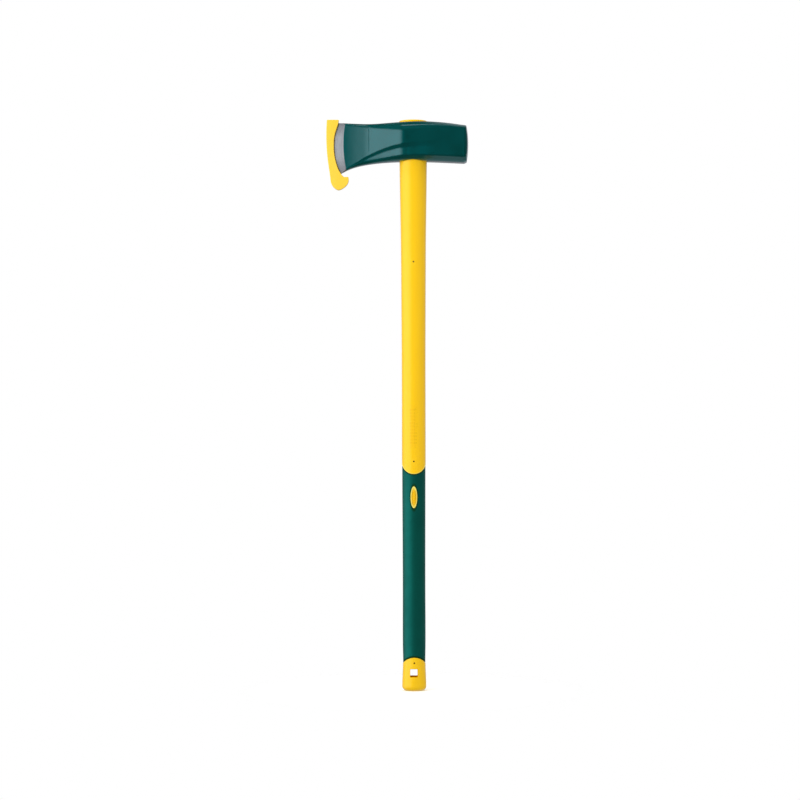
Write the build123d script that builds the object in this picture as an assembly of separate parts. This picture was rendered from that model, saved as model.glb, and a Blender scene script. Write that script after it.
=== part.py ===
from build123d import *

import os
from math import cos, hypot, radians, sin, sqrt

# A splitting maul: a forged wedge head on a 900 mm oval handle, with a slip-on guard over the cutting edge.
#
# maul_head     the steel head, one forging, with a tapered oval eye
# handle_core   the glass-fibre rod inside the handle
# handle_shell  the yellow shell moulded round the rod, from the butt up through the eye of the head
# grip_sleeve   the soft green grip moulded into a recess round the lower half of the shell
# eye_bond      the thin layer of cast resin that bonds the shell into the eye
# edge_guard    the yellow guard on the cutting edge, with a finger hook to pull it off by
#
# Frame, in millimetres: the origin is where the handle's axis meets its flat butt, +Z runs up the handle
# to the head, -X is the side of the cutting edge and +X the side of the striking face. The maul is the same
# on both sides of the plane Y = 0.

# ---------------------------------------------------------------- driving dimensions
OVERALL_LENGTH = 900.0

# Head: the places along X where its shape changes.
EDGE_X = -131.7  # the foremost point of the curved cutting edge
FLANK_BREAK_X = -69.0  # the thin bit ends and the wedge starts
CHEEK_X = -17.0  # the wedge ends and the flat cheeks start
POLL_X = 86.9  # the crown of the striking face
POLL_ROUNDING_X = 79.5  # the rounding round the striking face starts

CHEEK_HALF = 27.5  # half the head's greatest thickness
FLANK_BREAK_HALF = 12.6
CHEEK_BLEND = 1.5  # how softly the wedge runs into the cheek
BLEND_REACH = 8.0  # the wedge is straight up to here and the cheek is flat from here
BIT_SLOPE = 0.215  # half-thickness gained per mm, just in front of the flank break
BIT_HOLLOW = 0.0012  # how fast that slope falls off towards the edge
POLL_INSET = 6.5  # how far the rounding draws in the section at the striking face
POLL_CROWN_RADIUS = 164.0
POLL_CENTRE_Z = 860.5
BLANK_FRONT_X = -138.0  # the blank runs past the edge, which is then ground out of it

# The ground bit: flat bevels run from each of these arcs to the next. An arc is (foremost x, height of its
# centre, radius, half-thickness at its foremost point, half-thickness gained per mm behind that point).
EDGE_ARC = (EDGE_X, 857.0, 99.0, 0.35, 0.0)
HONED_ARC = (EDGE_X + 2.5, 857.0, 96.5, 1.3, 0.0)
GROUND_ARC = (-107.0, 862.0, 190.0, 6.5, 0.2)  # 3 mm behind the line where the bevel leaves the flank
UNGROUND_ARC = (-72.0, 862.0, 190.0, 39.8, 0.2)  # well clear of the wedge
BIT_MIDDLE_Z = 857.0
BIT_REACH = 60.0  # the arcs run this far up and down from there
BIT_BACK_X = -50.0
GRIND_END_X = -91.7  # nothing is ground behind this

# The head's section, as shares of half its thickness or of the upper bevel's height.
TOP_FLAT_SHARE = 0.71  # half-width of the top
BOTTOM_FLAT_SHARE = 0.60  # half-width of the underside
BEVEL_BREAK_DROP = 0.38  # where the upper bevel's steep facet starts, down from the top
BEVEL_BREAK_INSET = 0.11  # how far that break is drawn in, fading out towards the poll
BEVEL_FADE_X = 60.0
CORNER_ROUNDINGS = (2.2, 2.0, 2.5, 1.0, 1.2, 2.5, 5.0)  # down one side, from the top to the underside
ROUNDING_FADE = 1.6  # the thin bit has smaller roundings
LEAST_RIDGE = 0.8

# How the head's section changes along X. Each curve passes smoothly through its (x, value) points.
TOP_LINE = ((-140, 895.7), (-110, 894.5), (-68, 892.7), (-30, 894.4), (8, 896.0), (45, 894.3), (82, 889.6))
BOTTOM_LINE = (
    (-140, 798.5), (-113.4, 815.2), (-98.4, 822.5), (-80, 827.7), (-51, 832.0), (-17, 834.2), (25, 834.0),
    (82, 831.5),
)
UPPER_BEVEL_HEIGHT = (
    (-140, 1.6), (-107, 2.8), (-68, 6.5), (-35, 11.4), (-15, 13.8), (10, 14.2), (45, 12.0), (82, 9.0),
)
LOWER_BEVEL_HEIGHT = ((-140, 1.2), (-104, 2.2), (-70, 5.5), (-44, 6.4), (-15, 8.6), (82, 8.8))
STEP_HEIGHT = ((-140, 0.8), (-100, 1.4), (-72, 4.5), (-58, 5.5), (-17, 7.2), (82, 7.2))
STEP_DEPTH = ((-140, 0.0), (-100, 0.15), (-72, 1.7), (-45, 3.0), (-17, 3.4), (5, 2.4), (32, 0.0), (82, 0.0))
RIDGE_PEAK = (5.0, 862.5)
RIDGE_FALL = 0.0034

# Handle: (height, half-width along X, half-thickness along Y) of its oval sections.
HANDLE_SECTIONS = (
    (0, 18.9, 14.5),
    (18, 18.8, 14.4),
    (42, 17.85, 13.8),
    (60, 18.1, 13.8),
    (130, 18.3, 13.9),
    (340, 18.7, 14.1),
    (500, 18.7, 14.3),
    (620, 19.2, 14.6),
    (720, 19.9, 15.1),
    (790, 21.0, 15.7),
    (850, 21.7, 16.2),
    (902, 22.0, 16.5),
)
BUTT_ROUNDING = 7.5
TOP_ROUNDING = 1.6
TOP_CROWN_RADIUS = 130.0

# Eye: it follows the handle at this distance, and the resin that fills the gap stops short of each mouth.
BOND_THICKNESS = 1.0
EYE_BOTTOM_Z = 834.1
EYE_TOP_Z = 894.6
BOND_BOTTOM_Z = 838.6
BOND_TOP_Z = 893.1
EYE_LEAD_IN = 0.9
EYE_REACH = (26.0, 20.0)  # along X and Y, the eye with its lead-in lies within this

# Glass-fibre rod inside the handle.
CORE_HALF_WIDTH = 11.5
CORE_HALF_THICKNESS = 8.0
CORE_BOTTOM_Z = 41.0
CORE_TOP_Z = 891.0

# Soft grip: it fills a recess in the shell, between two curved borders.
GRIP_THICKNESS = 2.6
GRIP_BELOW_SURFACE = 0.4
GRIP_TOP_MIDDLE_Z = 341.7
GRIP_TOP_SIDE_Z = 354.3
GRIP_BOTTOM_MIDDLE_Z = 52.7
GRIP_BOTTOM_SIDE_Z = 43.0
GRIP_HALF_WIDTH = 18.2  # half-width of the handle where the borders meet its sides
BORDER_CHAMFER = 0.6
SKIN_DEPTH = 4.5  # every edge on the handle's outside is at least this far out from the core

# Oval boss of the shell that shows through the grip, with a raised rim and a row of plain bars.
BOSS_Z = 305.2
BOSS_HALF_WIDTH = 5.3
BOSS_HALF_HEIGHT = 17.1
BOSS_RIM = 1.6
BOSS_FIELD_DEPTH = 0.7
BAR_WIDTH = 3.4
BAR_HEIGHT = 1.3
BAR_PITCH = 3.2
BAR_COUNT = 7

# On the front and the back of the shell: a row of low raised bars, holes left by the pins that held the
# rod in the mould, and the square hole the maul hangs by.
TREAD_X = -2.6
TREAD_Z = 416.7
TREAD_WIDTH = 8.0
TREAD_HEIGHT = 2.4
TREAD_PITCH = 5.2
TREAD_COUNT = 12
TREAD_PROUD = 0.45
LOCATING_HOLE_RADIUS = 1.3
LOCATING_HOLE_HEIGHTS = (44.3, 361.6, 675.7)
HANGING_HOLE_WIDTH = 11.6
HANGING_HOLE_HEIGHT = 12.5
HANGING_HOLE_X = -0.6
HANGING_HOLE_Z = 28.5
HANGING_HOLE_CORNER = 1.0

# Edge guard: its outline in the plane Y = 0, as (x, z), down the front, round the finger hook and up the lip.
GUARD_FRONT = (
    (-135.9, 900.0), (-136.8, 868.0), (-134.7, 836.7), (-130.8, 808.4), (-128.9, 798.7), (-124.0, 792.3),
    (-118.7, 789.4), (-110.2, 792.3), (-103.6, 798.6), (-101.7, 806.0),
)
GUARD_HOOK_TIP = (-102.2, 809.9)
GUARD_LIP = (
    (-109.2, 809.9), (-113.4, 814.3), (-120.0, 827.3), (-124.3, 846.2), (-125.0, 858.8), (-123.1, 877.7),
    (-118.2, 893.5), (-116.9, 900.0),
)
GUARD_HALF_THICKNESS = 5.6
GUARD_CORNER = 1.1  # rounding of the outline's corners
GUARD_ROUNDING = 1.0  # rounding of the long edges
GUARD_CLEARANCE = 0.3  # between the guard and the steel
GUARD_SLOT_FLOOR_Z = 810.6
GUARD_SLOT_CEILING_Z = 895.4

FIT_GAP = 0.05  # between pieces that are moulded or bonded together
CLEAR = 1.0  # how far a cut or an added pad reaches past the surface it starts from
THROUGH = 60.0  # long enough to pass through any piece


def through(points):
    """A smooth function of x that passes through the (x, value) points, level beyond the ends."""

    def slope(i):
        a, b = points[max(i - 1, 0)], points[min(i + 1, len(points) - 1)]
        return (b[1] - a[1]) / (b[0] - a[0])

    def value(x):
        x = min(max(x, points[0][0]), points[-1][0])
        i = max(k for k in range(len(points) - 1) if points[k][0] <= x)
        (x0, v0), (x1, v1) = points[i], points[i + 1]
        span = x1 - x0
        t = (x - x0) / span
        rise = t * t * (3 - 2 * t)
        return v0 + (v1 - v0) * rise + span * t * (1 - t) * ((1 - t) * slope(i) - t * slope(i + 1))

    return value


top_line = through(TOP_LINE)
bottom_line = through(BOTTOM_LINE)
upper_bevel_height = through(UPPER_BEVEL_HEIGHT)
lower_bevel_height = through(LOWER_BEVEL_HEIGHT)
step_height = through(STEP_HEIGHT)
step_depth = through(STEP_DEPTH)


def half_thickness(x):
    """Half the head's thickness at x: the thin hollow bit, then the straight wedge, then the flat cheek."""
    ahead = min(x - FLANK_BREAK_X, 0)
    wedge_slope = (CHEEK_HALF - FLANK_BREAK_HALF) / (CHEEK_X - FLANK_BREAK_X)
    flank = FLANK_BREAK_HALF + BIT_SLOPE * ahead + BIT_HOLLOW * ahead**2
    flank += wedge_slope * max(x - FLANK_BREAK_X, 0)
    mix = min(max(0.5 + 0.5 * (CHEEK_HALF - flank) / CHEEK_BLEND, 0), 1)
    return CHEEK_HALF * (1 - mix) + flank * mix - CHEEK_BLEND * mix * (1 - mix)


def head_corners(x):
    """The corners of the head's section at x, as (y, z, rounding), down its +Y side from top to bottom."""
    half = half_thickness(x)
    top = top_line(x)
    bottom = bottom_line(x)
    bevel = upper_bevel_height(x)
    step = step_height(x)
    recessed = half - step_depth(x)
    side_bottom = bottom + lower_bevel_height(x)
    ridge = RIDGE_PEAK[1] - RIDGE_FALL * min(x - RIDGE_PEAK[0], 0) ** 2
    ridge = max(ridge, side_bottom + step + LEAST_RIDGE)
    bevel_inset = BEVEL_BREAK_INSET * half * min(max(1 - x / BEVEL_FADE_X, 0), 1)
    corners = [
        (TOP_FLAT_SHARE * half, top),
        (half - bevel_inset, top - BEVEL_BREAK_DROP * bevel),
        (half, top - bevel),
        (half, ridge),
        (recessed, ridge - step),
        (recessed, side_bottom),
        (BOTTOM_FLAT_SHARE * half, bottom),
    ]
    ease = min(1.0, ROUNDING_FADE * half / CHEEK_HALF)
    return [(y, z, rounding * ease) for (y, z), rounding in zip(corners, CORNER_ROUNDINGS)]


def section_wire(x, corners):
    """A closed wire in the plane at x through the corners and their mirror images, with rounded corners."""
    loop = corners + [(-y, z, r) for y, z, r in reversed(corners)]
    edges, ends = [], []
    for i, (y, z, rounding) in enumerate(loop):
        before, after = loop[i - 1], loop[(i + 1) % len(loop)]
        cut = []
        for other in (before, after):
            length = hypot(other[0] - y, other[1] - z)
            reach = min(rounding / length, 0.42)
            cut.append((x, y + (other[0] - y) * reach, z + (other[1] - z) * reach))
        ends.append((cut[0], (x, y, z), cut[1]))
    for i, (start, corner, end) in enumerate(ends):
        edges.append(Bezier(start, corner, end))
        edges.append(Line(end, ends[(i + 1) % len(ends)][0]))
    return Wire(edges)


def spaced(start, end, count):
    return [start + (end - start) * i / count for i in range(count + 1)]


def head_blank():
    """The head without its eye and its ground edge: the loft of its sections and the rounded poll."""
    before_blend, after_blend = CHEEK_X - BLEND_REACH, CHEEK_X + BLEND_REACH
    stretches = (
        spaced(BLANK_FRONT_X, before_blend, 12),
        spaced(before_blend, after_blend, 8),
        spaced(after_blend, POLL_ROUNDING_X, 7),
    )
    lofts = [Solid.make_loft([section_wire(x, head_corners(x)) for x in stations]) for stations in stretches]
    body = lofts[0] + lofts[1] + lofts[2]
    corners = head_corners(POLL_ROUNDING_X)
    wires = []
    for angle in spaced(0, 90, 6):
        x = POLL_ROUNDING_X + (POLL_X - POLL_ROUNDING_X) * sin(radians(angle))
        shrink = 1 - POLL_INSET * (1 - cos(radians(angle))) / (corners[0][1] - POLL_CENTRE_Z)
        drawn_in = [
            (y * shrink, POLL_CENTRE_Z + (z - POLL_CENTRE_Z) * shrink, rounding * shrink)
            for y, z, rounding in corners
        ]
        wires.append(section_wire(x, drawn_in))
    return body + Solid.make_loft(wires)


def slab(low, high):
    """Everything between two heights."""
    return Pos(0, 0, (low + high) / 2) * Box(8 * THROUGH, 2 * THROUGH, high - low)


def prism(sketch, x, z):
    """A sketch drawn in the XZ plane about (x, z) and stretched right through along Y."""
    return extrude(Plane.XZ * Pos(x, z) * sketch, THROUGH, both=True)


def behind_arc(arc, side, clearance):
    """A wire round everything behind one of the bit's arcs, on one side of the plane Y = 0."""
    front_x, centre_z, radius, half, slope = arc
    front_x -= clearance
    radius += clearance
    top, middle, bottom = BIT_MIDDLE_Z + BIT_REACH, BIT_MIDDLE_Z, BIT_MIDDLE_Z - BIT_REACH

    def place(x, z):
        return (x, side * (half + clearance + slope * (x - front_x)), z)

    def on_arc(z):
        return place(front_x + radius - sqrt(radius**2 - (z - centre_z) ** 2), z)

    curve = ThreePointArc(on_arc(top), on_arc(middle), on_arc(bottom))
    corners = [on_arc(bottom), place(BIT_BACK_X, bottom), place(BIT_BACK_X, top), on_arc(top)]
    return Wire([curve] + [Line(corners[i], corners[i + 1]) for i in range(3)])


def bit_envelope(clearance=0.0):
    """The space that the ground bit fills, from the cutting edge back to where it is clear of the wedge."""
    arcs = (EDGE_ARC, HONED_ARC, GROUND_ARC, UNGROUND_ARC)
    wires = [behind_arc(arc, -1, clearance) for arc in reversed(arcs)]
    wires += [behind_arc(arc, 1, clearance) for arc in arcs]
    return Solid.make_loft(wires, ruled=True)


def handle_blank(inset=0.0):
    """The handle's outer form from the butt to above the head, moved in by inset all round."""
    return loft([Pos(0, 0, z) * Ellipse(width - inset, depth - inset) for z, width, depth in HANDLE_SECTIONS])


def handle_layer(outer_inset, inner_inset):
    """The layer of the handle between two insets; a negative inset is outside its surface."""
    return handle_blank(outer_inset) - handle_blank(inner_inset)


def border(middle_z, side_z, gap=0.0):
    """The shell's side of an arched border of the grip: a cylinder along Y grown by gap, and its height."""
    rise = abs(side_z - middle_z)
    radius = (GRIP_HALF_WIDTH**2 + rise**2) / (2 * rise)
    centre_z = middle_z + radius * (1 if side_z > middle_z else -1)
    return prism(Circle(radius + gap), 0, centre_z), centre_z


def grip_band(gap=0.0):
    """The stretch of the handle between the grip's two borders, drawn in by gap."""
    top, top_z = border(GRIP_TOP_MIDDLE_Z, GRIP_TOP_SIDE_Z, gap)
    bottom, bottom_z = border(GRIP_BOTTOM_MIDDLE_Z, GRIP_BOTTOM_SIDE_Z, gap)
    return slab(bottom_z, top_z) - top - bottom


def boss_oval(margin=0.0):
    return prism(Ellipse(BOSS_HALF_WIDTH + margin, BOSS_HALF_HEIGHT + margin), 0, BOSS_Z)


def bar_row(width, height, middle_x, middle_z, pitch, count):
    """A vertical row of plain rounded bars."""
    bar = RectangleRounded(width, height, 0.35 * height)
    first_z = middle_z - pitch * (count - 1) / 2
    return Compound([prism(bar, middle_x, first_z + pitch * i) for i in range(count)])


def make_head():
    head = head_blank()
    front = Pos(GRIND_END_X - THROUGH, 0, BIT_MIDDLE_Z) * Box(2 * THROUGH, 2 * THROUGH, 2 * THROUGH)
    head -= front - bit_envelope()
    head &= Pos(POLL_X - POLL_CROWN_RADIUS, 0, POLL_CENTRE_Z) * Sphere(POLL_CROWN_RADIUS)
    head -= handle_blank(-BOND_THICKNESS)
    return chamfer(eye_mouth_edges(head), EYE_LEAD_IN)


def eye_mouth_edges(head):
    """The two rings of edges where the eye breaks through the top and the underside of the head."""
    found = []
    for edge in head.edges():
        box = edge.bounding_box()
        within_x = -EYE_REACH[0] < box.min.X and box.max.X < EYE_REACH[0]
        within_y = -EYE_REACH[1] < box.min.Y and box.max.Y < EYE_REACH[1]
        if within_x and within_y and box.size.Z < (EYE_TOP_Z - EYE_BOTTOM_Z) / 2:
            found.append(edge)
    return found


def surface_edges(part, low, high):
    """The edges on the outside of the handle between two heights, not those in its depth."""
    found = []
    for edge in part.edges():
        box = edge.bounding_box()
        depth = min(abs(box.min.Y), abs(box.max.Y))
        if depth > CORE_HALF_THICKNESS + SKIN_DEPTH and low < box.min.Z and box.max.Z < high:
            found.append(edge)
    return found


def make_shell():
    crown = Pos(0, 0, OVERALL_LENGTH - TOP_CROWN_RADIUS) * Sphere(TOP_CROWN_RADIUS)
    shell = handle_blank() - (slab(EYE_TOP_Z, OVERALL_LENGTH + THROUGH) - crown)
    top_rim = [edge for edge in shell.edges() if edge.bounding_box().min.Z > EYE_TOP_Z]
    shell = fillet(top_rim, TOP_ROUNDING)
    butt_rim = [edge for edge in shell.edges() if edge.bounding_box().max.Z < 1]
    shell = fillet(butt_rim, BUTT_ROUNDING)

    shell -= (handle_layer(-CLEAR, GRIP_THICKNESS) & grip_band()) - boss_oval()
    shell = chamfer(surface_edges(shell, HANGING_HOLE_Z, TREAD_Z), BORDER_CHAMFER)
    boss_bars = bar_row(BAR_WIDTH, BAR_HEIGHT, 0, BOSS_Z, BAR_PITCH, BAR_COUNT)
    shell -= (handle_layer(-CLEAR, BOSS_FIELD_DEPTH) & boss_oval(-BOSS_RIM)) - boss_bars
    tread = bar_row(TREAD_WIDTH, TREAD_HEIGHT, TREAD_X, TREAD_Z, TREAD_PITCH, TREAD_COUNT)
    shell += handle_layer(-TREAD_PROUD, CLEAR) & tread

    hole = RectangleRounded(HANGING_HOLE_WIDTH, HANGING_HOLE_HEIGHT, HANGING_HOLE_CORNER)
    shell -= prism(hole, HANGING_HOLE_X, HANGING_HOLE_Z)
    shell = chamfer(surface_edges(shell, BUTT_ROUNDING, CORE_BOTTOM_Z), BORDER_CHAMFER)
    shell -= core_rod(FIT_GAP)
    for z in LOCATING_HOLE_HEIGHTS:
        shell -= prism(Circle(LOCATING_HOLE_RADIUS), 0, z)
    return shell


def core_rod(margin=0.0):
    section = Ellipse(CORE_HALF_WIDTH + margin, CORE_HALF_THICKNESS + margin)
    bottom = CORE_BOTTOM_Z - margin
    return Pos(0, 0, bottom) * extrude(section, CORE_TOP_Z + margin - bottom)


def make_grip():
    grip = handle_layer(GRIP_BELOW_SURFACE, GRIP_THICKNESS - FIT_GAP) & grip_band(FIT_GAP)
    grip -= boss_oval(FIT_GAP)
    return chamfer(surface_edges(grip, HANGING_HOLE_Z, TREAD_Z), BORDER_CHAMFER)


def make_bond():
    ring = handle_layer(FIT_GAP - BOND_THICKNESS, -FIT_GAP)
    return ring & slab(BOND_BOTTOM_Z, BOND_TOP_Z)


def make_guard():
    outline = [
        Spline(*GUARD_FRONT),
        Line(GUARD_FRONT[-1], GUARD_HOOK_TIP),
        Line(GUARD_HOOK_TIP, GUARD_LIP[0]),
        Spline(*GUARD_LIP),
        Line(GUARD_LIP[-1], GUARD_FRONT[0]),
    ]
    face = make_face(outline)
    face = fillet(face.vertices(), GUARD_CORNER)
    guard = extrude(Plane.XZ * face, GUARD_HALF_THICKNESS, both=True)
    guard = fillet(guard.faces().filter_by(Axis.Y).edges(), GUARD_ROUNDING)
    return guard - (bit_envelope(GUARD_CLEARANCE) & slab(GUARD_SLOT_FLOOR_Z, GUARD_SLOT_CEILING_Z))


PIECES = {
    "maul_head": make_head,
    "handle_core": core_rod,
    "handle_shell": make_shell,
    "grip_sleeve": make_grip,
    "eye_bond": make_bond,
    "edge_guard": make_guard,
}

os.makedirs("parts", exist_ok=True)
for node, make in PIECES.items():
    export_step(make(), f"parts/{node}.step")
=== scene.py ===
import math

import bpy
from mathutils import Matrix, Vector


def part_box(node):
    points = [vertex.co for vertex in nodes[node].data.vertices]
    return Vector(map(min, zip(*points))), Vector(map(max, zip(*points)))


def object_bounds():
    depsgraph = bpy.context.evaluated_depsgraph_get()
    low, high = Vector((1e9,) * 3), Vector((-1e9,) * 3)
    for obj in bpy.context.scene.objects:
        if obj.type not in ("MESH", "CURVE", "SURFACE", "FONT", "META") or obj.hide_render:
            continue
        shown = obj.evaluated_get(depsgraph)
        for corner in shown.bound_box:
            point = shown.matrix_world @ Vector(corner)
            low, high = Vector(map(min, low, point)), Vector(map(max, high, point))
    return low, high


# The looks of a splitting maul: glossy green paint with a bare ground bit, satin yellow plastic, a soft
# green grip and a yellow edge guard, in plain soft studio light.
#
# Everything is in metres. Places on the maul are measured from the boxes of its CAD nodes: -X is the side
# of the cutting edge, -Y the side that the camera looks at, +Z up.

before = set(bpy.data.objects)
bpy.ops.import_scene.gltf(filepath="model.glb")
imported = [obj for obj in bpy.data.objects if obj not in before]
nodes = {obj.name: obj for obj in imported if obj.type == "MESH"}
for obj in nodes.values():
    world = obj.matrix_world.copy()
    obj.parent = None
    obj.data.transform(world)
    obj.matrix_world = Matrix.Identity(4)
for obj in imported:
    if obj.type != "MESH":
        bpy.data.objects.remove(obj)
cad_low, cad_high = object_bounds()

head_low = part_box("maul_head")[0]
grip_low, grip_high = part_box("grip_sleeve")
shell_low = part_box("handle_shell")[0]
middle = (cad_low + cad_high) / 2

MM = 0.001

# ---------------------------------------------------------------- markings
# Arcs on the head, seen from a broad side: the cutting edge and the line where the paint ends.
EDGE_RADIUS = 99 * MM
EDGE_CENTRE = Vector((head_low.x + EDGE_RADIUS, 0, head_low.z + 46 * MM))
HONED_WIDTH = 2.5 * MM
PAINT_LINE_RADIUS = 190 * MM
PAINT_LINE_BACK = 21.7 * MM
PAINT_LINE_CENTRE = Vector((head_low.x + PAINT_LINE_BACK + PAINT_LINE_RADIUS, 0, head_low.z + 51 * MM))

# The crease on the flank, between the ridge below it and the bevel above it, where a painted shade line
# darkens the paint.
CREASE_X = head_low.x + 62.7 * MM
CREASE_BOTTOM_Z = head_low.z + 38 * MM
CREASE_TOP_Z = head_low.z + 75 * MM

# The grip's borders are arcs across the handle, and its boss opening is an oval.
BORDER_HALF_WIDTH = 18.2 * MM
TOP_BORDER_DIP = 12.6 * MM
BOTTOM_BORDER_RISE = 9.7 * MM
BOSS_HALF_WIDTH = 5.3 * MM
BOSS_HALF_HEIGHT = 17.1 * MM
BOSS_CENTRE = Vector((0, 0, grip_high.z - 49.1 * MM))
HANGING_HOLE_CENTRE = Vector((-0.6 * MM, 0, shell_low.z + 28.5 * MM))
HANGING_HOLE_HALF_WIDTH = 5.8 * MM
HANGING_HOLE_HALF_HEIGHT = 6.25 * MM

# ---------------------------------------------------------------- colours
GREEN_PAINT = (0.0005, 0.031, 0.022)
GREEN_PAINT_THIN = (0.001, 0.039, 0.030)
PAINT_SHEEN = (0.0, 0.9, 1.0)

STEEL_BRIGHT = (0.48, 0.495, 0.505)
STEEL_MARKS = (0.33, 0.345, 0.36)
STEEL_PASSES = (0.31, 0.325, 0.335)
STEEL_TARNISH = (0.29, 0.29, 0.295)
STEEL_ENDS_PAINTED_SHADE = (0.16, 0.16, 0.17)
STEEL_HONED = (0.78, 0.79, 0.80)

YELLOW_SHELL = (0.96, 0.57, 0.001)
YELLOW_SHELL_WARM = (0.93, 0.535, 0.0)
YELLOW_GUARD = (0.95, 0.63, 0.06)
YELLOW_GUARD_WARM = (0.92, 0.58, 0.03)
YELLOW_SHEEN = (1.0, 0.8, 0.0)
PAINTED_RIM_HIGHLIGHT = (0.93, 0.88, 0.22)
HOLE_WALL_PAINTED_SHADE = (0.62, 0.28, 0.0)

GREEN_GRIP = (0.002, 0.062, 0.044)
GRIP_SHEEN = (0.05, 0.85, 0.75)
BORDER_PAINTED_SHADE = (0.006, 0.032, 0.001)

FIBRE = (0.17, 0.10, 0.035)
FIBRE_LIGHT = (0.26, 0.16, 0.065)
FIBRE_DARK = (0.12, 0.065, 0.02)

RESIN = (0.26, 0.17, 0.07)
RESIN_CLOUD = (0.36, 0.25, 0.11)
RESIN_BUBBLE = (0.5, 0.4, 0.25)

# ---------------------------------------------------------------- light and camera
FLOOR_RADIUS = 0.3
FLOOR_SIDES = 96
FLOOR_WHITE = (0.99, 0.99, 0.99)
FLOOR_LIFT = 0.08

LAMP_DISTANCE = 2.0
ROOM_GLOW = 0.02
DIFFUSE_GLOW = 0.85
SOFTBOX_COLOUR = (0.97, 1.0, 1.07)
# Softboxes: (brightness, azimuth from, azimuth to, lowest, highest, blur), all but the first in degrees.
# An azimuth is 0 on the camera's side of the maul and 90 on the side of its cutting edge.
SOFTBOXES = (
    (1.45, 21.5, 92, -27, 25, 14),  # the key, beside the camera
    (1.8, -30, 30, 52, 66, 6),  # a strip above the camera
    (0.12, -100, -40, -60, 60, 14),  # the dim side of the room
    (0.33, 90, 180, -90, 75, 10),  # the sweep behind, on the side of the cutting edge
    (0.48, -180, -140, -90, 75, 14),  # the sweep straight behind
    (0.28, -140, -100, -90, 75, 14),  # the sweep behind, on the side of the striking face
)

# The camera stands level with the middle of the maul, a little towards the cutting edge, and leans a
# little, as the photographed maul does.
CAMERA_PLACE = middle + Vector((3.4 * MM, -4.0, 8.2 * MM))
CAMERA_LEAN = math.radians(0.12)
SENSOR_WIDTH = 36
LENS = 114.1


# ---------------------------------------------------------------- node helpers
class Graph:
    """The node tree of a material or a world, built with short calls.

    A value may be a number, a colour or another node's output.
    """

    def __init__(self, owner, coordinates="Object"):
        self.owner = owner
        owner.use_nodes = True
        self.tree = owner.node_tree
        self.tree.nodes.clear()
        self.coords = self.add("ShaderNodeTexCoord").outputs[coordinates]

    def add(self, kind, settings=None, **values):
        """A new node. The values go into its inputs: Base_Color means the input Base Color."""
        node = self.tree.nodes.new(kind)
        for key, value in (settings or {}).items():
            setattr(node, key, value)
        for key, value in values.items():
            self.put(node.inputs[key.replace("_", " ")], value)
        return node

    def put(self, socket, value):
        if isinstance(value, bpy.types.NodeSocket):
            self.tree.links.new(value, socket)
        elif socket.type == "RGBA" and len(value) == 3:
            socket.default_value = (*value, 1)
        else:
            socket.default_value = value

    def math(self, operation, *values):
        node = self.add("ShaderNodeMath", {"operation": operation})
        for socket, value in zip(node.inputs, values):
            self.put(socket, value)
        return node.outputs[0]

    def vector(self, operation, *values):
        node = self.add("ShaderNodeVectorMath", {"operation": operation})
        for socket, value in zip(node.inputs, values):
            self.put(socket, value)
        return node.outputs["Value" if operation in ("DISTANCE", "LENGTH") else "Vector"]

    def stretch(self, x, y, z):
        """The object's coordinates with each axis multiplied."""
        return self.vector("MULTIPLY", self.coords, (x, y, z))

    def noise(self, size, detail=2.0, at=None, roughness=0.5):
        """Noise from 0 to 1 with features of the given size in metres."""
        at = at or self.coords
        node = self.add("ShaderNodeTexNoise", Vector=at, Scale=1 / size, Detail=detail, Roughness=roughness)
        return node.outputs["Fac"]

    def cells(self, size):
        """The distance to the middle of the nearest of many cells, in cell sizes."""
        node = self.add("ShaderNodeTexVoronoi", {"feature": "F1"}, Vector=self.coords, Scale=1 / size)
        return node.outputs["Distance"]

    def ramp(self, value, low, high, to_low=0.0, to_high=1.0, smooth=True):
        """Maps low..high to to_low..to_high and holds outside."""
        kind = {"interpolation_type": "SMOOTHSTEP" if smooth else "LINEAR", "clamp": True}
        node = self.add("ShaderNodeMapRange", kind, Value=value)
        for key, number in (("From Min", low), ("From Max", high), ("To Min", to_low), ("To Max", to_high)):
            self.put(node.inputs[key], number)
        return node.outputs["Result"]

    def mix(self, share, first, second):
        """A colour between two colours."""
        node = self.add("ShaderNodeMix", {"data_type": "RGBA", "clamp_factor": True})
        self.put(node.inputs[0], share)
        self.put(node.inputs[6], first)
        self.put(node.inputs[7], second)
        return node.outputs[2]

    def blend(self, share, first, second):
        """A number between two numbers."""
        node = self.add("ShaderNodeMix", {"data_type": "FLOAT", "clamp_factor": True})
        self.put(node.inputs[0], share)
        self.put(node.inputs[2], first)
        self.put(node.inputs[3], second)
        return node.outputs[0]

    def bump(self, height, depth, normal=None):
        """A bump whose height runs from 0 to depth metres as the value runs from 0 to 1."""
        node = self.add("ShaderNodeBump", Height=height, Distance=depth, Strength=1.0)
        if normal is not None:
            self.put(node.inputs["Normal"], normal)
        return node.outputs["Normal"]

    def pointiness(self):
        """How convex the surface is: about 0.5 on a flat face, more on an edge and less in a groove."""
        return self.add("ShaderNodeNewGeometry").outputs["Pointiness"]

    def finish(self, **values):
        """Puts the values into a principled shader and returns the finished material."""
        shader = self.add("ShaderNodeBsdfPrincipled", **values)
        output = self.add("ShaderNodeOutputMaterial")
        self.tree.links.new(shader.outputs[0], output.inputs["Surface"])
        return self.owner


def new_graph(name):
    return Graph(bpy.data.materials.new(name))


def dress(node_name, material):
    """Gives a CAD node its material."""
    slots = nodes[node_name].data.materials
    slots.clear()
    slots.append(material)


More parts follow.
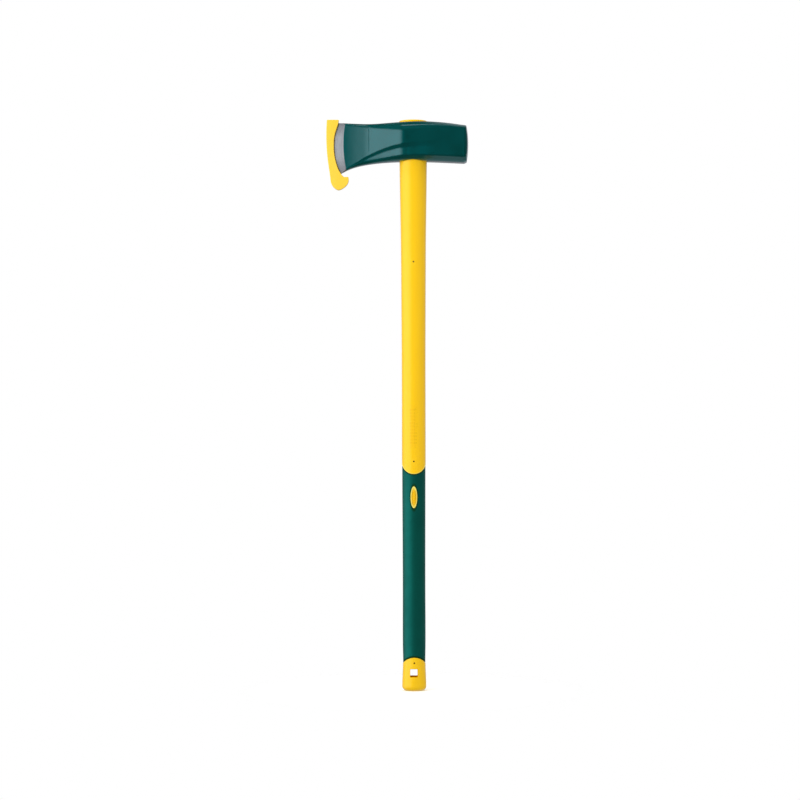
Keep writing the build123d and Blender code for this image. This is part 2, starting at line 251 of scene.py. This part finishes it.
# ---------------------------------------------------------------- materials
def beyond_borders(g):
    """How far outside the grip a point is, seen from a broad side: below zero on the grip, in metres."""
    flat = g.vector("MULTIPLY", g.coords, (1, 0, 1))
    place = g.add("ShaderNodeSeparateXYZ", Vector=g.coords)

    def outside_circle(middle_z, rise, side):
        radius = (BORDER_HALF_WIDTH**2 + rise**2) / (2 * rise)
        centre_z = middle_z + side * radius
        outwards = g.math("MULTIPLY", g.math("SUBTRACT", place.outputs["Z"], centre_z), side)
        leg = g.add("ShaderNodeCombineXYZ", X=place.outputs["X"], Z=g.math("MINIMUM", outwards, 0.0))
        inside = g.math("SUBTRACT", radius, g.vector("LENGTH", leg.outputs[0]))
        return g.math("ADD", inside, g.math("MAXIMUM", outwards, 0.0))

    top = outside_circle(grip_high.z - TOP_BORDER_DIP, TOP_BORDER_DIP, 1)
    bottom = outside_circle(grip_low.z + BOTTOM_BORDER_RISE, BOTTOM_BORDER_RISE, -1)
    from_boss = g.vector("SUBTRACT", flat, tuple(BOSS_CENTRE))
    squashed = g.vector("DIVIDE", from_boss, (BOSS_HALF_WIDTH, 1, BOSS_HALF_HEIGHT))
    boss = g.math("MULTIPLY", g.math("SUBTRACT", 1.0, g.vector("LENGTH", squashed)), BOSS_HALF_WIDTH)
    return g.math("MAXIMUM", g.math("MAXIMUM", top, bottom), boss)


def in_hanging_hole(g):
    """1 on the walls of the hanging hole, 0 on the rest of the handle."""
    from_hole = g.vector("SUBTRACT", g.coords, tuple(HANGING_HOLE_CENTRE))
    squashed = g.vector("DIVIDE", from_hole, (HANGING_HOLE_HALF_WIDTH, 1, HANGING_HOLE_HALF_HEIGHT))
    place = g.add("ShaderNodeSeparateXYZ", Vector=g.vector("ABSOLUTE", squashed))
    return g.ramp(g.math("MAXIMUM", place.outputs["X"], place.outputs["Z"]), 1.02, 1.12, 1, 0)


def head_material():
    """Glossy green paint up to an arched line, and ground steel in front of it."""
    g = new_graph("head_paint_and_steel")
    flat = g.vector("MULTIPLY", g.coords, (1, 0, 1))

    line_wobble = g.ramp(g.noise(4 * MM), 0, 1, -0.25 * MM, 0.25 * MM, smooth=False)
    beyond = g.math("SUBTRACT", g.vector("DISTANCE", flat, tuple(PAINT_LINE_CENTRE)), PAINT_LINE_RADIUS)
    beyond = g.math("ADD", beyond, line_wobble)
    bare = g.ramp(beyond, -0.12 * MM, 0.12 * MM)
    paint_lip = g.ramp(beyond, -0.5 * MM, 0.0)

    patches = g.noise(35 * MM, detail=3)
    edges = g.ramp(g.pointiness(), 0.52, 0.60)
    paint = g.mix(g.ramp(patches, 0.35, 0.7, 0, 0.5), GREEN_PAINT, GREEN_PAINT_THIN)
    paint = g.mix(g.math("MULTIPLY", edges, 0.5), paint, GREEN_PAINT_THIN)

    # A faint crease where the thin bit meets the wedge: a shallow groove in the bump, and a painted shade
    # line that darkens the paint along it.
    place = g.add("ShaderNodeSeparateXYZ", Vector=g.coords)
    from_crease = g.math("ABSOLUTE", g.math("SUBTRACT", place.outputs["X"], CREASE_X))
    above_ridge = g.ramp(place.outputs["Z"], CREASE_BOTTOM_Z - 4 * MM, CREASE_BOTTOM_Z + 4 * MM)
    below_bevel = g.ramp(place.outputs["Z"], CREASE_TOP_Z - 3 * MM, CREASE_TOP_Z + 3 * MM, 1, 0)
    on_flank = g.math("MULTIPLY", above_ridge, below_bevel)
    crease_groove_and_shade = g.math("MULTIPLY", g.ramp(from_crease, 0.2 * MM, 1.3 * MM, 1, 0), on_flank)
    paint = g.mix(g.math("MULTIPLY", crease_groove_and_shade, 0.45), paint, tuple(0.5 * c for c in GREEN_PAINT))

    # Grinding marks follow the cutting edge.
    depth = g.math("SUBTRACT", EDGE_RADIUS, g.vector("DISTANCE", flat, tuple(EDGE_CENTRE)))
    around = g.vector("MULTIPLY", g.coords, (0, 1, 0.02))
    marks_at = g.add("ShaderNodeCombineXYZ", X=depth, Y=0.0, Z=0.0).outputs[0]
    marks_at = g.vector("ADD", marks_at, around)
    marks = g.noise(0.25 * MM, detail=4, at=marks_at, roughness=0.65)
    honed = g.ramp(depth, HONED_WIDTH - 0.1 * MM, HONED_WIDTH + 0.1 * MM, 1, 0)
    tarnish = g.noise(9 * MM, detail=4)
    passes = g.noise(1.6 * MM, detail=2, at=marks_at)
    away = g.math("ABSOLUTE", g.math("SUBTRACT", place.outputs["Z"], EDGE_CENTRE.z))
    steel = g.mix(g.ramp(marks, 0.3, 0.75), STEEL_MARKS, STEEL_BRIGHT)
    steel = g.mix(g.ramp(passes, 0.35, 0.65, 0, 0.35), steel, STEEL_PASSES)
    steel = g.mix(g.ramp(tarnish, 0.45, 0.75, 0, 0.3), steel, STEEL_TARNISH)
    # Painted shade: the steel darkens towards the top and bottom ends of the bit.
    steel = g.mix(g.ramp(away, 10 * MM, 40 * MM, 0, 0.85), steel, STEEL_ENDS_PAINTED_SHADE)
    steel = g.mix(g.math("MULTIPLY", honed, 0.6), steel, STEEL_HONED)

    peel = g.bump(g.noise(1.6 * MM, detail=1), 0.012 * MM)
    forging = g.bump(g.noise(28 * MM, detail=2), 0.16 * MM, peel)
    forging = g.bump(crease_groove_and_shade, -0.12 * MM, forging)
    lip = g.bump(paint_lip, -0.08 * MM, forging)
    scratches = g.bump(marks, 0.010 * MM)
    normal = g.add("ShaderNodeMix", {"data_type": "VECTOR", "clamp_factor": True})
    g.put(normal.inputs[0], bare)
    g.put(normal.inputs[4], lip)
    g.put(normal.inputs[5], scratches)

    return g.finish(
        Base_Color=g.mix(bare, paint, steel),
        Metallic=g.math("MULTIPLY", bare, 0.8),
        Roughness=g.blend(bare, g.ramp(patches, 0.3, 0.7, 0.40, 0.48), g.ramp(marks, 0.2, 0.8, 0.42, 0.28)),
        IOR=1.7,
        Specular_IOR_Level=g.blend(bare, 0.95, 0.5),
        Specular_Tint=g.mix(bare, PAINT_SHEEN, (1, 1, 1)),
        Coat_Weight=g.blend(bare, 1.0, 0.0),
        Coat_IOR=1.6,
        Coat_Roughness=0.05,
        Coat_Normal=lip,
        Normal=normal.outputs[1],
    )


def moulded_plastic(name, colour, warm, roughness, on_handle=False):
    """Satin moulded plastic: a fine spark-eroded grain, faint flow streaks, and slightly polished edges that
    also get a lighter colour, a painted highlight.

    The handle's is paler along the grip's borders, a painted highlight, and dull and darker on the walls of
    the hanging hole, a painted shade.
    """
    g = new_graph(name)
    streaks = g.noise(14 * MM, detail=3, at=g.stretch(1, 1, 0.15))
    edges = g.ramp(g.pointiness(), 0.53, 0.62)
    groove_shade = g.ramp(g.pointiness(), 0.47, 0.40)
    body = g.mix(g.ramp(streaks, 0.35, 0.7, 0, 0.5), colour, warm)
    # Painted highlight: convex edges are lightened.
    body = g.mix(g.math("MULTIPLY", edges, 0.25), body, tuple(min(1, 1.06 * c + 0.03) for c in colour))
    # Painted shade: grooves are darkened.
    body = g.mix(g.math("MULTIPLY", groove_shade, 0.5), body, tuple(0.55 * c for c in warm))
    gloss = 1.0
    if on_handle:
        # Painted highlight: a pale rim along the grip's borders.
        body = g.mix(g.ramp(beyond_borders(g), 0.2 * MM, 2.0 * MM, 0.8, 0), body, PAINTED_RIM_HIGHLIGHT)
        # Painted shade: the walls of the hanging hole get a darker colour and lose their gloss.
        hole = in_hanging_hole(g)
        body = g.mix(g.math("MULTIPLY", hole, 0.8), body, HOLE_WALL_PAINTED_SHADE)
        gloss = g.math("SUBTRACT", 1.0, hole)
    grain = g.bump(g.noise(0.45 * MM, detail=3), 0.012 * MM)
    waves = g.bump(g.noise(30 * MM, detail=1, at=g.stretch(1, 1, 0.3)), 0.10 * MM, grain)
    rough = g.math("ADD", g.ramp(g.noise(6 * MM, detail=4), 0.3, 0.7, -0.04, 0.04), roughness)
    return g.finish(
        Base_Color=body,
        Roughness=g.math("SUBTRACT", rough, g.math("MULTIPLY", edges, 0.10)),
        Specular_IOR_Level=g.math("MULTIPLY", 0.5, gloss),
        Specular_Tint=YELLOW_SHEEN,
        Coat_Weight=gloss,
        Coat_Roughness=0.24,
        Coat_Normal=waves,
        Normal=waves,
    )


def grip_material():
    """Soft rubber: a fine pebbled grain and a dull sheen, with a painted highlight lightening the bulges and
    a painted shade line along the grip's borders.
    """
    g = new_graph("grip_rubber")
    cloud = g.noise(22 * MM, detail=4)
    pebble = g.cells(0.7 * MM)
    edges = g.ramp(g.pointiness(), 0.53, 0.62)
    body = g.mix(g.ramp(cloud, 0.35, 0.7, 0, 0.6), GREEN_GRIP, tuple(0.75 * c for c in GREEN_GRIP))
    body = g.mix(g.ramp(pebble, 0.25, 0.6, 0, 0.25), body, tuple(0.6 * c for c in GREEN_GRIP))
    # Painted highlight: convex bulges are lightened.
    body = g.mix(g.math("MULTIPLY", edges, 0.35), body, tuple(1.5 * c + 0.004 for c in GREEN_GRIP))
    # Painted shade: a dark line on the grip along its borders, with less gloss there.
    shade = g.ramp(beyond_borders(g), -2.2 * MM, -0.6 * MM, 0, 0.85)
    body = g.mix(shade, body, BORDER_PAINTED_SHADE)
    grain = g.bump(pebble, -0.035 * MM)
    waves = g.bump(g.noise(26 * MM, detail=1, at=g.stretch(1, 1, 0.35)), 0.12 * MM, grain)
    return g.finish(
        Base_Color=body,
        Roughness=g.ramp(cloud, 0.3, 0.7, 0.41, 0.49),
        IOR=1.57,
        Specular_IOR_Level=g.math("SUBTRACT", 1.0, shade),
        Specular_Tint=GRIP_SHEEN,
        Normal=waves,
    )


def glass_fibre_material():
    """Pultruded rod: brown strands lengthwise under a thin glaze of resin."""
    g = new_graph("glass_fibre")
    strands = g.noise(0.5 * MM, detail=5, at=g.stretch(1, 1, 0.01))
    bundles = g.noise(3 * MM, detail=2, at=g.stretch(1, 1, 0.02))
    body = g.mix(g.ramp(strands, 0.3, 0.7), FIBRE, FIBRE_LIGHT)
    body = g.mix(g.ramp(bundles, 0.4, 0.7, 0, 0.4), body, FIBRE_DARK)
    return g.finish(
        Base_Color=body,
        Roughness=g.ramp(strands, 0.2, 0.8, 0.35, 0.6),
        Coat_Weight=0.3,
        Coat_Roughness=0.25,
        Normal=g.bump(strands, 0.03 * MM),
    )


def resin_material():
    """Cast resin: amber, a little cloudy, with small bubbles."""
    g = new_graph("cast_resin")
    cloud = g.noise(5 * MM, detail=4)
    bubbles = g.ramp(g.cells(1.4 * MM), 0.12, 0.2, 1, 0)
    body = g.mix(g.ramp(cloud, 0.35, 0.7), RESIN, RESIN_CLOUD)
    return g.finish(
        Base_Color=g.mix(g.math("MULTIPLY", bubbles, 0.5), body, RESIN_BUBBLE),
        Roughness=g.ramp(cloud, 0.3, 0.7, 0.3, 0.5),
        Subsurface_Weight=0.2,
        Subsurface_Scale=1.0 * MM,
        Normal=g.bump(bubbles, -0.05 * MM),
    )


dress("maul_head", head_material())
dress("handle_shell", moulded_plastic("shell_plastic", YELLOW_SHELL, YELLOW_SHELL_WARM, 0.38, on_handle=True))
dress("edge_guard", moulded_plastic("guard_plastic", YELLOW_GUARD, YELLOW_GUARD_WARM, 0.42))
dress("grip_sleeve", grip_material())
dress("handle_core", glass_fibre_material())
dress("eye_bond", resin_material())


# ---------------------------------------------------------------- studio
def studio_floor():
    """A pale floor under the butt that fades out into the white of the studio. From below it isn't seen."""
    mesh = bpy.data.meshes.new("floor")
    angles = [2 * math.pi * i / FLOOR_SIDES for i in range(FLOOR_SIDES)]
    height = cad_low.z - 0.2 * MM
    ring = [(FLOOR_RADIUS * math.cos(a), FLOOR_RADIUS * math.sin(a), height) for a in angles]
    mesh.from_pydata(ring, [], [list(range(FLOOR_SIDES))])
    floor = bpy.data.objects.new("floor", mesh)
    bpy.context.scene.collection.objects.link(floor)
    g = new_graph("floor")
    away = g.vector("LENGTH", g.vector("MULTIPLY", g.coords, (1, 1, 0)))
    cover = g.ramp(away, 0.1 * FLOOR_RADIUS, 0.98 * FLOOR_RADIUS, 1, 0)
    from_below = g.add("ShaderNodeNewGeometry").outputs["Backfacing"]
    cover = g.math("MULTIPLY", cover, g.math("SUBTRACT", 1.0, from_below))
    mesh.materials.append(g.finish(
        Base_Color=FLOOR_WHITE,
        Roughness=0.9,
        Specular_IOR_Level=0.0,
        Emission_Color=(1, 1, 1),
        Emission_Strength=FLOOR_LIFT,
        Alpha=cover,
    ))
    floor.visible_diffuse = False
    floor.visible_glossy = False


def soft_light(name, azimuth, elevation, size, power):
    """A square light aimed at the middle of the maul, of the given size in metres and power in watts.

    It only brightens: reflections come from the world.
    """
    light = bpy.data.lights.new(name, "AREA")
    light.size = size
    light.energy = power
    lamp = bpy.data.objects.new(name, light)
    a, e = math.radians(azimuth), math.radians(elevation)
    towards = Vector((-math.sin(a) * math.cos(e), -math.cos(a) * math.cos(e), math.sin(e)))
    lamp.location = middle + LAMP_DISTANCE * towards
    lamp.rotation_mode = "QUATERNION"
    lamp.rotation_quaternion = (-towards).to_track_quat("-Z", "Y")
    lamp.visible_glossy = False
    lamp.visible_camera = False
    bpy.context.scene.collection.objects.link(lamp)


def studio_world():
    """White to the camera, an even glow to dull surfaces, and a dark room with softboxes to shiny ones."""
    world = bpy.data.worlds.new("studio")
    bpy.context.scene.world = world
    g = Graph(world, "Generated")
    split = g.add("ShaderNodeSeparateXYZ", Vector=g.coords)
    left, towards_camera = (g.math("MULTIPLY", split.outputs[axis], -1) for axis in ("X", "Y"))
    azimuth = g.math("ARCTAN2", left, towards_camera)
    elevation = g.math("ARCSINE", split.outputs["Z"])

    def band(value, low, high, blur):
        half = math.radians(blur) / 2
        low, high = math.radians(low), math.radians(high)
        rise = g.ramp(value, low - half, low + half, smooth=False)
        return g.math("MULTIPLY", rise, g.ramp(value, high - half, high + half, 1, 0, smooth=False))

    room = ROOM_GLOW
    for brightness, first, last, lowest, highest, blur in SOFTBOXES:
        box = g.math("MULTIPLY", band(azimuth, first, last, blur), band(elevation, lowest, highest, blur))
        room = g.math("MULTIPLY_ADD", box, brightness, room)
    sees = g.add("ShaderNodeLightPath")
    strength = g.blend(sees.outputs["Is Diffuse Ray"], room, DIFFUSE_GLOW)
    strength = g.blend(sees.outputs["Is Camera Ray"], strength, 1.0)
    colour = g.mix(sees.outputs["Is Glossy Ray"], (1, 1, 1), SOFTBOX_COLOUR)
    background = g.add("ShaderNodeBackground", Color=colour, Strength=strength)
    output = g.add("ShaderNodeOutputWorld")
    g.tree.links.new(background.outputs[0], output.inputs["Surface"])


studio_floor()
studio_world()
soft_light("side", 50, 20, 1.2, 18)
soft_light("above", 0, 85, 1.0, 12)

scene = bpy.context.scene
scene.view_settings.view_transform = "Standard"

camera = bpy.data.objects.new("camera", bpy.data.cameras.new("camera"))
camera.location = CAMERA_PLACE
camera.rotation_euler = (math.radians(90), CAMERA_LEAN, 0)
camera.data.sensor_width = SENSOR_WIDTH
camera.data.lens = LENS
scene.collection.objects.link(camera)
scene.camera = camera
